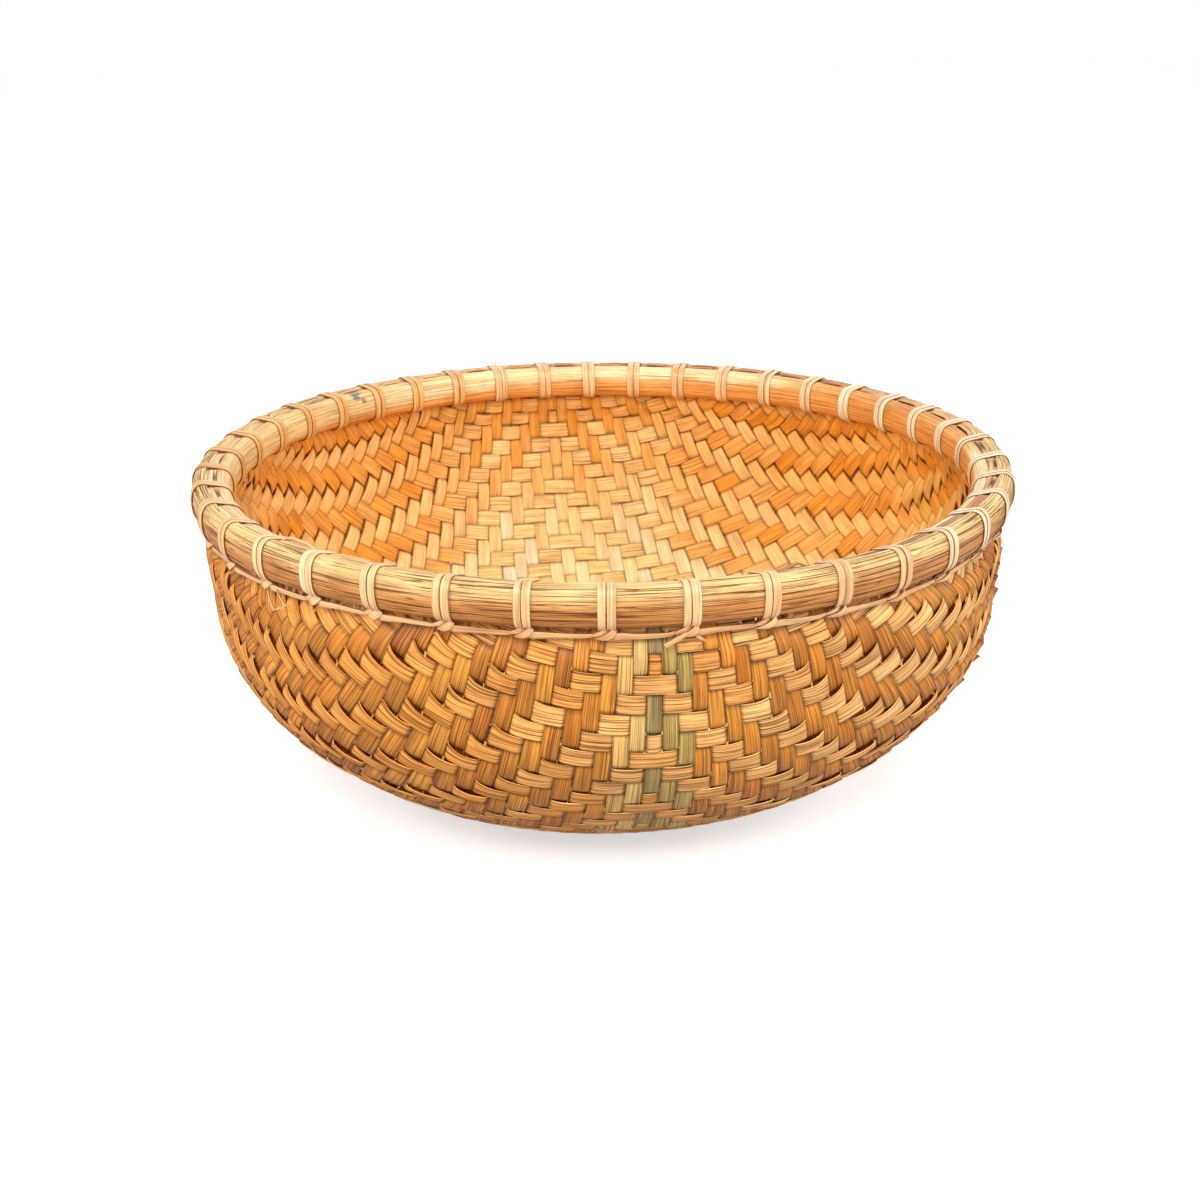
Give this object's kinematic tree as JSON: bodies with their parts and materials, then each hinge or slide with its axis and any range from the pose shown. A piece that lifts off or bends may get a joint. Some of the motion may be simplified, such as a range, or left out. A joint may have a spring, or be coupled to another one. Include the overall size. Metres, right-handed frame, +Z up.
{
  "type": "harvest basket",
  "caption": "Round plaited basket with a deep bowl, a flat base and a lashed double-hoop rim, for gathering and holding produce.",
  "frame": {"origin": "middle of the base's underside, on the surface that the basket stands on", "axes": "+Z up through the mouth; the warps of the weave run along Y and the wefts along X"},
  "size_m": [0.4218, 0.4217, 0.1707],
  "materials": {
    "plaited_splint": "satin",
    "hoop_cane": "satin",
    "filler_splint": "matte",
    "binding_cane": "satin"
  },
  "bodies": {
    "root": {"woven_bowl": "plaited_splint", "outer_rim_hoop": "hoop_cane", "inner_rim_hoop": "hoop_cane", "rim_filler_strip": "filler_splint", "binding_strand": "binding_cane", "rim_lashing_01": "binding_cane", "rim_lashing_02": "binding_cane", "rim_lashing_03": "binding_cane", "rim_lashing_04": "binding_cane", "rim_lashing_05": "binding_cane", "rim_lashing_06": "binding_cane", "rim_lashing_07": "binding_cane", "rim_lashing_08": "binding_cane", "rim_lashing_09": "binding_cane", "rim_lashing_10": "binding_cane", "rim_lashing_11": "binding_cane", "rim_lashing_12": "binding_cane", "rim_lashing_13": "binding_cane", "rim_lashing_14": "binding_cane", "rim_lashing_15": "binding_cane", "rim_lashing_16": "binding_cane", "rim_lashing_17": "binding_cane", "rim_lashing_18": "binding_cane", "rim_lashing_19": "binding_cane", "rim_lashing_20": "binding_cane", "rim_lashing_21": "binding_cane", "rim_lashing_22": "binding_cane", "rim_lashing_23": "binding_cane", "rim_lashing_24": "binding_cane", "rim_lashing_25": "binding_cane", "rim_lashing_26": "binding_cane", "rim_lashing_27": "binding_cane", "rim_lashing_28": "binding_cane", "rim_lashing_29": "binding_cane", "rim_lashing_30": "binding_cane", "rim_lashing_31": "binding_cane", "rim_lashing_32": "binding_cane", "rim_lashing_33": "binding_cane", "rim_lashing_34": "binding_cane", "rim_lashing_35": "binding_cane", "rim_lashing_36": "binding_cane", "rim_lashing_37": "binding_cane", "rim_lashing_38": "binding_cane", "rim_lashing_39": "binding_cane", "rim_lashing_40": "binding_cane"}
  },
  "joints": []
}
